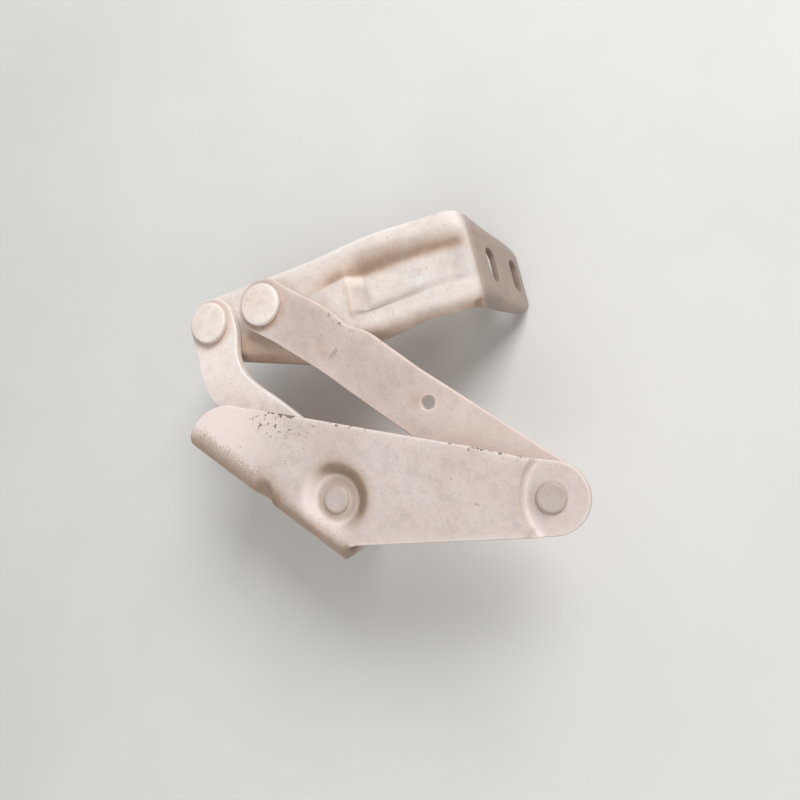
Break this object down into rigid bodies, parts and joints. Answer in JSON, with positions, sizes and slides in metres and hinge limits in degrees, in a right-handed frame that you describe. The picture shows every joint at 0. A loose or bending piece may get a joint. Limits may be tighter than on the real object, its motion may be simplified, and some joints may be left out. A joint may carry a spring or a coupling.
{
  "type": "bonnet hinge",
  "caption": "Painted four-bar bonnet hinge: a flanged body bracket, a cranked link and a straight link carry a pressed arm with a slotted bonnet flange.",
  "frame": {"origin": "centre of the two body bolt holes, on the outer face of the body flange", "axes": "+X along the body flange towards the long link's pivot, +Y from the flange into the hinge, +Z along the pivots towards the bracket's face, at the pictured opening angle"},
  "size_m": [0.2151, 0.1608, 0.0646],
  "materials": {
    "paint": "satin off-white paint, worn and chipped at the edges",
    "rivet": "satin off-white paint over steel rivets",
    "washer": "plain steel",
    "bush": "plain bearing bronze"
  },
  "bodies": {
    "bracket": {"body_bracket": "paint", "rivet_a": "rivet", "rivet_d": "rivet", "washer_a": "washer", "washer_d": "washer"},
    "short": {"short_link": "paint", "bush_a": "bush", "bush_b": "bush"},
    "long": {"long_link": "paint", "bush_d": "bush"},
    "arm": {"bonnet_arm": "paint", "rivet_b": "rivet", "rivet_c": "rivet", "washer_b": "washer", "washer_c": "washer"}
  },
  "joints": [
    {"name": "short_link_swing", "type": "hinge", "parent": "bracket", "child": "short", "pos_m": [0.0316, 0.0208, 0.026], "axis": [0, 0, 1], "range_deg": [-22.6, 9.1]},
    {"name": "arm_swing", "type": "hinge", "parent": "short", "child": "arm", "pos_m": [-0.07539, 0.05557, 0.026], "axis": [0, 0, 1], "range_deg": [-20, 50]},
    {"name": "long_link_swing", "type": "hinge", "parent": "bracket", "child": "long", "pos_m": [0.10869, 0.06991, 0.026], "axis": [0, 0, 1], "range_deg": [-17.9, 7.2]}
  ],
  "couplings": [
    {"joint": "short_link_swing", "follows": "arm_swing", "ratio": -0.4499},
    {"joint": "long_link_swing", "follows": "arm_swing", "ratio": -0.3562}
  ]
}
